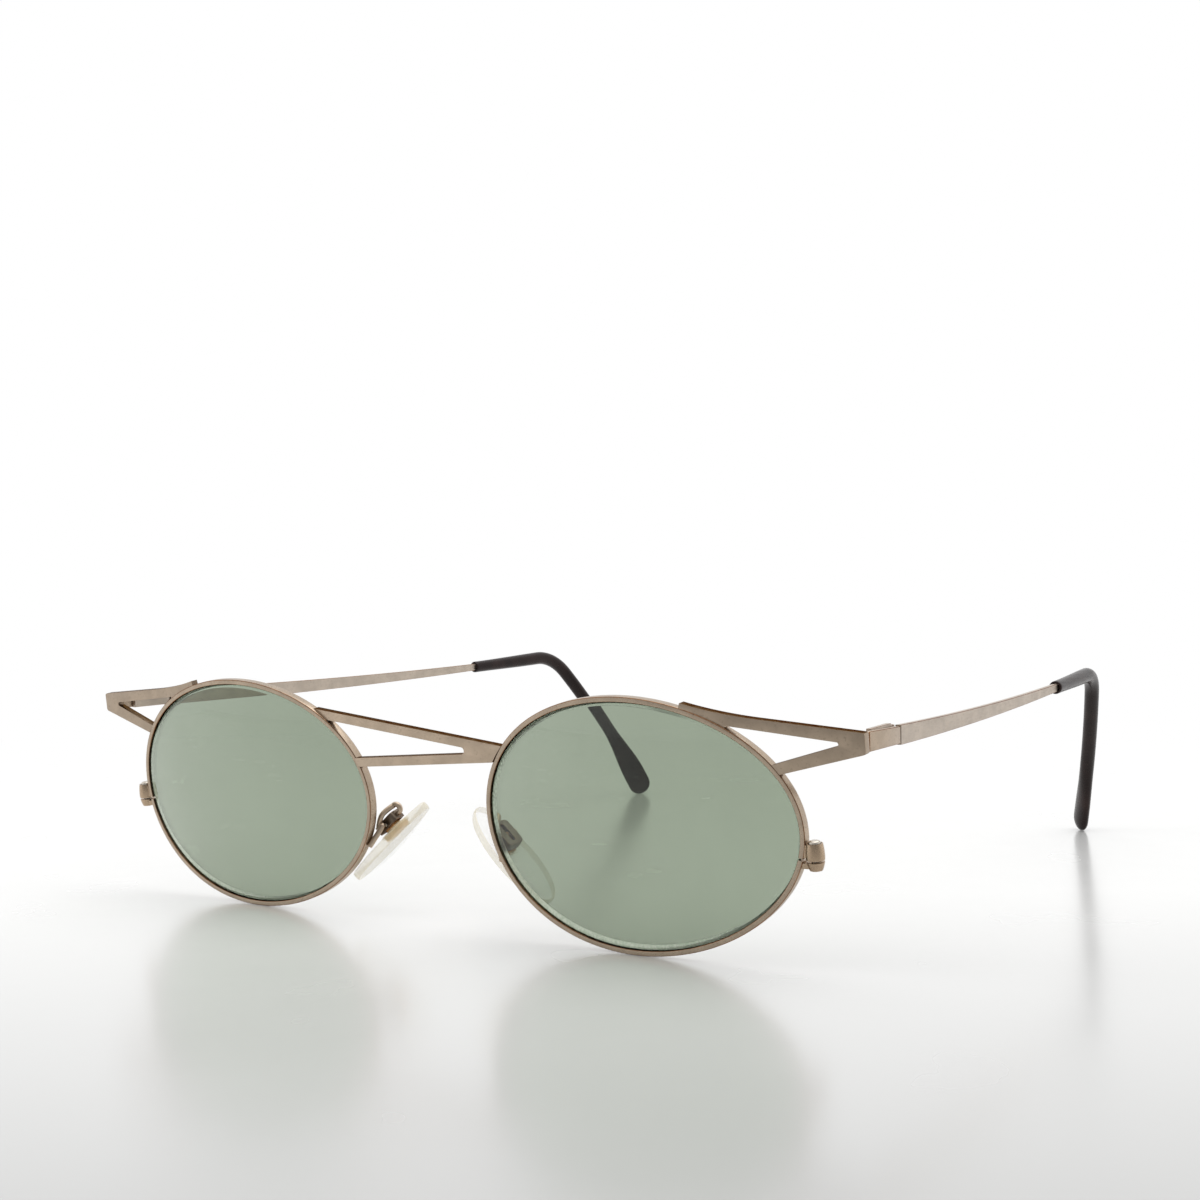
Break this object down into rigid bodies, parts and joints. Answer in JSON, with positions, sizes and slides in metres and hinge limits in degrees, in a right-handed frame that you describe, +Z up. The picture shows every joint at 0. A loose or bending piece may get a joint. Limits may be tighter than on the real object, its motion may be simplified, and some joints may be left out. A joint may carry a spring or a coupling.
{
  "type": "sunglasses",
  "caption": "Round metal sunglasses with curved green lenses, slotted bridge and endpieces, adjustable nose pads and folding temples.",
  "frame": {"origin": "on the floor, under the middle of the bounding box", "axes": "+X towards the wearer's left, -Y the way the front faces, +Y along the temples to the back, +Z up"},
  "size_m": [0.138, 0.1306, 0.0351],
  "materials": {
    "metal": "satin bronze-grey plating",
    "dark_metal": "satin dark bronze",
    "steel": "bright screws",
    "lens": "polished grey-green sun tint",
    "amber": "translucent amber core",
    "silicone": "clear soft silicone",
    "tip": "polished dark brown acetate"
  },
  "bodies": {
    "front": {"bridge": "metal", "left_endpiece": "metal", "left_endpiece_block": "metal", "left_hinge_front": "dark_metal", "left_hinge_screw": "steel", "left_lens": "lens", "left_pad_arm": "metal", "left_pad_box": "dark_metal", "left_pad_screw": "steel", "left_rim": "metal", "left_rim_barrel_lower": "metal", "left_rim_barrel_upper": "metal", "left_rim_screw": "steel", "right_endpiece": "metal", "right_endpiece_block": "metal", "right_hinge_front": "dark_metal", "right_hinge_screw": "steel", "right_lens": "lens", "right_pad_arm": "metal", "right_pad_box": "dark_metal", "right_pad_screw": "steel", "right_rim": "metal", "right_rim_barrel_lower": "metal", "right_rim_barrel_upper": "metal", "right_rim_screw": "steel"},
    "left_temple": {"left_hinge_temple": "dark_metal", "left_temple_strip": "metal", "left_temple_tip": "tip"},
    "right_temple": {"right_hinge_temple": "dark_metal", "right_temple_strip": "metal", "right_temple_tip": "tip"},
    "left_pad": {"left_nose_pad": "silicone", "left_pad_insert": "amber"},
    "right_pad": {"right_nose_pad": "silicone", "right_pad_insert": "amber"}
  },
  "joints": [
    {"name": "left_temple_fold", "type": "hinge", "parent": "front", "child": "left_temple", "pos_m": [0.06591, -0.04774, 0.02971], "axis": [0, 0, 1], "range_deg": [0, 82]},
    {"name": "right_temple_fold", "type": "hinge", "parent": "front", "child": "right_temple", "pos_m": [-0.06591, -0.04774, 0.02971], "axis": [0, 0, -1], "range_deg": [0, 74]},
    {"name": "left_pad_rock", "type": "hinge", "parent": "front", "child": "left_pad", "pos_m": [0.01125, -0.05704, 0.01388], "axis": [-0.1482, -0.9744, -0.1693], "range_deg": [-7, 2]},
    {"name": "right_pad_rock", "type": "hinge", "parent": "front", "child": "right_pad", "pos_m": [-0.01125, -0.05704, 0.01388], "axis": [-0.1482, 0.9744, 0.1693], "range_deg": [-7, 2]}
  ]
}
